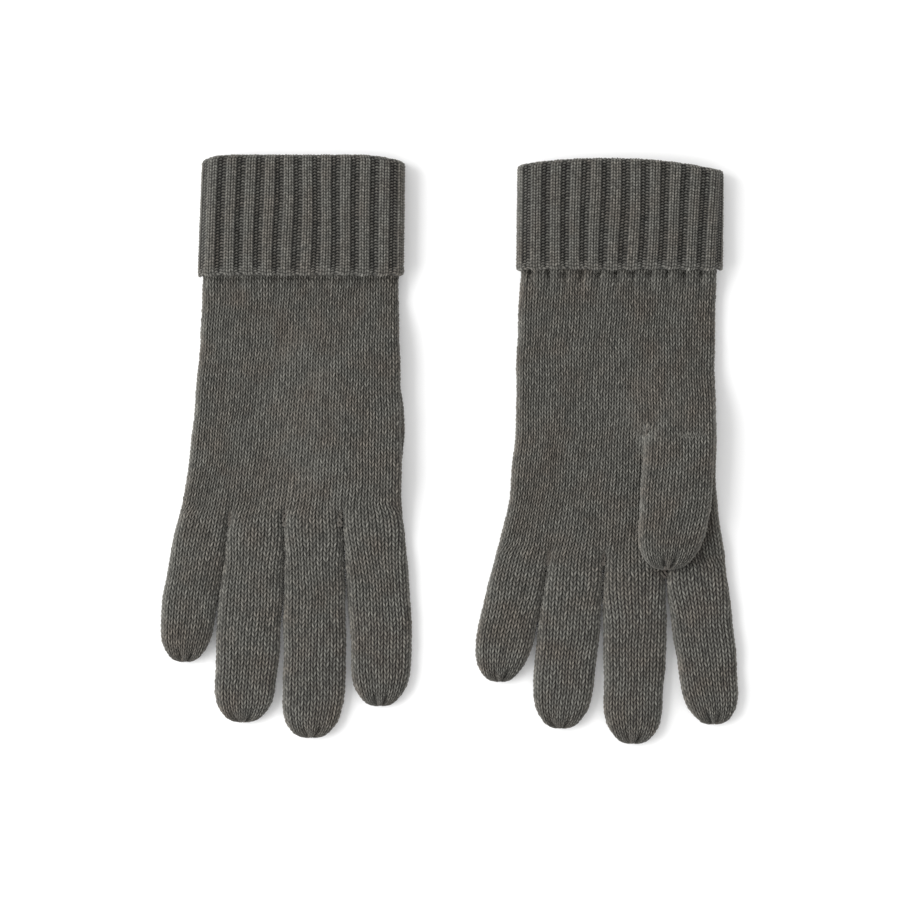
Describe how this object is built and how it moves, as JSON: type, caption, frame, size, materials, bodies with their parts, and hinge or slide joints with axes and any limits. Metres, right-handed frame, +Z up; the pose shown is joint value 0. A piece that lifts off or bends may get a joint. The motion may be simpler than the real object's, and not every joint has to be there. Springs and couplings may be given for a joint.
{
  "type": "knitted gloves",
  "caption": "Pair of soft knitted winter gloves with plain knitted hands and fingers and deep ribbed cuffs turned back at the wrist, lying flat.",
  "frame": {"origin": "middle of the footprint of the pair, on the surface the gloves lie on", "axes": "+Z up out of the surface, +Y from the fingertips towards the cuffs, +X from the right-hand glove towards the left-hand glove"},
  "size_m": [0.2422, 0.2466, 0.0158],
  "materials": {
    "jersey": "heathered grey-olive plain knitting, soft and slightly fuzzy",
    "rib": "the same yarn in a deep two-by-two rib",
    "darn": "the same yarn, darned or drawn together"
  },
  "bodies": {
    "right_hand": {"right_hand": "jersey", "right_index_middle_fork_darn": "darn", "right_middle_ring_fork_darn": "darn", "right_ring_little_fork_darn": "darn", "right_thumb_darn": "darn"},
    "right_wrist": {"right_wrist_rib": "rib", "right_turned_cuff": "rib", "right_cuff_edge": "rib"},
    "right_index_base": {"right_index_base": "jersey"},
    "right_index_end": {"right_index_end": "jersey", "right_index_tip_closure": "darn"},
    "right_middle_base": {"right_middle_base": "jersey"},
    "right_middle_end": {"right_middle_end": "jersey", "right_middle_tip_closure": "darn"},
    "right_ring_base": {"right_ring_base": "jersey"},
    "right_ring_end": {"right_ring_end": "jersey", "right_ring_tip_closure": "darn"},
    "right_little_base": {"right_little_base": "jersey"},
    "right_little_end": {"right_little_end": "jersey", "right_little_tip_closure": "darn"},
    "right_thumb": {"right_thumb": "jersey", "right_thumb_tip_closure": "darn"},
    "left_hand": {"left_hand": "jersey", "left_index_middle_fork_darn": "darn", "left_middle_ring_fork_darn": "darn", "left_ring_little_fork_darn": "darn", "left_thumb_darn": "darn"},
    "left_wrist": {"left_wrist_rib": "rib", "left_turned_cuff": "rib", "left_cuff_edge": "rib"},
    "left_index_base": {"left_index_base": "jersey"},
    "left_index_end": {"left_index_end": "jersey", "left_index_tip_closure": "darn"},
    "left_middle_base": {"left_middle_base": "jersey"},
    "left_middle_end": {"left_middle_end": "jersey", "left_middle_tip_closure": "darn"},
    "left_ring_base": {"left_ring_base": "jersey"},
    "left_ring_end": {"left_ring_end": "jersey", "left_ring_tip_closure": "darn"},
    "left_little_base": {"left_little_base": "jersey"},
    "left_little_end": {"left_little_end": "jersey", "left_little_tip_closure": "darn"},
    "left_thumb": {"left_thumb": "jersey", "left_thumb_tip_closure": "darn"}
  },
  "joints": [
    {"name": "left_glove_lift", "type": "slide", "parent": "right_hand", "child": "left_hand", "axis": [0, 0, 1], "range_m": [0, 0.1]},
    {"name": "right_wrist_fold", "type": "hinge", "parent": "right_hand", "child": "right_wrist", "pos_m": [-0.06216, 0.0731, 0.0109], "axis": [1, 0, 0], "range_deg": [0, 60]},
    {"name": "right_index_knuckle", "type": "hinge", "parent": "right_hand", "child": "right_index_base", "pos_m": [-0.03241, -0.02835, 0.01211], "axis": [-1, 0, 0], "range_deg": [0, 90]},
    {"name": "right_index_mid_fold", "type": "hinge", "parent": "right_index_base", "child": "right_index_end", "pos_m": [-0.02921, -0.06535, 0.0076], "axis": [-1, 0, 0], "range_deg": [0, 90]},
    {"name": "right_middle_knuckle", "type": "hinge", "parent": "right_hand", "child": "right_middle_base", "pos_m": [-0.05741, -0.02835, 0.01211], "axis": [-1, 0, 0], "range_deg": [0, 90]},
    {"name": "right_middle_mid_fold", "type": "hinge", "parent": "right_middle_base", "child": "right_middle_end", "pos_m": [-0.05652, -0.07235, 0.0076], "axis": [-1, 0, 0], "range_deg": [0, 90]},
    {"name": "right_ring_knuckle", "type": "hinge", "parent": "right_hand", "child": "right_ring_base", "pos_m": [-0.08111, -0.02835, 0.0076], "axis": [-1, 0, 0], "range_deg": [0, 90]},
    {"name": "right_ring_mid_fold", "type": "hinge", "parent": "right_ring_base", "child": "right_ring_end", "pos_m": [-0.08381, -0.06935, 0.0076], "axis": [-1, 0, 0], "range_deg": [0, 90]},
    {"name": "right_little_knuckle", "type": "hinge", "parent": "right_hand", "child": "right_little_base", "pos_m": [-0.10321, -0.02835, 0.0076], "axis": [-1, 0, 0], "range_deg": [0, 90]},
    {"name": "right_little_mid_fold", "type": "hinge", "parent": "right_little_base", "child": "right_little_end", "pos_m": [-0.1079, -0.05635, 0.0076], "axis": [-1, 0, 0], "range_deg": [0, 90]},
    {"name": "right_thumb_swing", "type": "hinge", "parent": "right_hand", "child": "right_thumb", "pos_m": [-0.03521, 0.03065, 0], "axis": [0, 0, 1], "range_deg": [0, 45]},
    {"name": "left_wrist_fold", "type": "hinge", "parent": "left_hand", "child": "left_wrist", "pos_m": [0.07084, 0.0755, 0.0109], "axis": [1, 0, 0], "range_deg": [0, 60]},
    {"name": "left_index_knuckle", "type": "hinge", "parent": "left_hand", "child": "left_index_base", "pos_m": [0.10344, -0.05065, 0.0076], "axis": [-1, 0, 0], "range_deg": [0, 90]},
    {"name": "left_index_mid_fold", "type": "hinge", "parent": "left_index_base", "child": "left_index_end", "pos_m": [0.10687, -0.08235, 0.0076], "axis": [-1, 0, 0], "range_deg": [0, 90]},
    {"name": "left_middle_knuckle", "type": "hinge", "parent": "left_hand", "child": "left_middle_base", "pos_m": [0.07718, -0.05065, 0.0076], "axis": [-1, 0, 0], "range_deg": [0, 90]},
    {"name": "left_middle_mid_fold", "type": "hinge", "parent": "left_middle_base", "child": "left_middle_end", "pos_m": [0.07738, -0.08635, 0.0076], "axis": [-1, 0, 0], "range_deg": [0, 90]},
    {"name": "left_ring_knuckle", "type": "hinge", "parent": "left_hand", "child": "left_ring_base", "pos_m": [0.05205, -0.05065, 0.0076], "axis": [-1, 0, 0], "range_deg": [0, 90]},
    {"name": "left_ring_mid_fold", "type": "hinge", "parent": "left_ring_base", "child": "left_ring_end", "pos_m": [0.04909, -0.08335, 0.0076], "axis": [-1, 0, 0], "range_deg": [0, 90]},
    {"name": "left_little_knuckle", "type": "hinge", "parent": "left_hand", "child": "left_little_base", "pos_m": [0.0288, -0.05065, 0.0076], "axis": [-1, 0, 0], "range_deg": [0, 90]},
    {"name": "left_little_mid_fold", "type": "hinge", "parent": "left_little_base", "child": "left_little_end", "pos_m": [0.02447, -0.07235, 0.0076], "axis": [-1, 0, 0], "range_deg": [0, 90]},
    {"name": "left_thumb_swing", "type": "hinge", "parent": "left_hand", "child": "left_thumb", "pos_m": [0.09589, 0.00465, 0.0079], "axis": [0, 0, 1], "range_deg": [0, 45]}
  ]
}
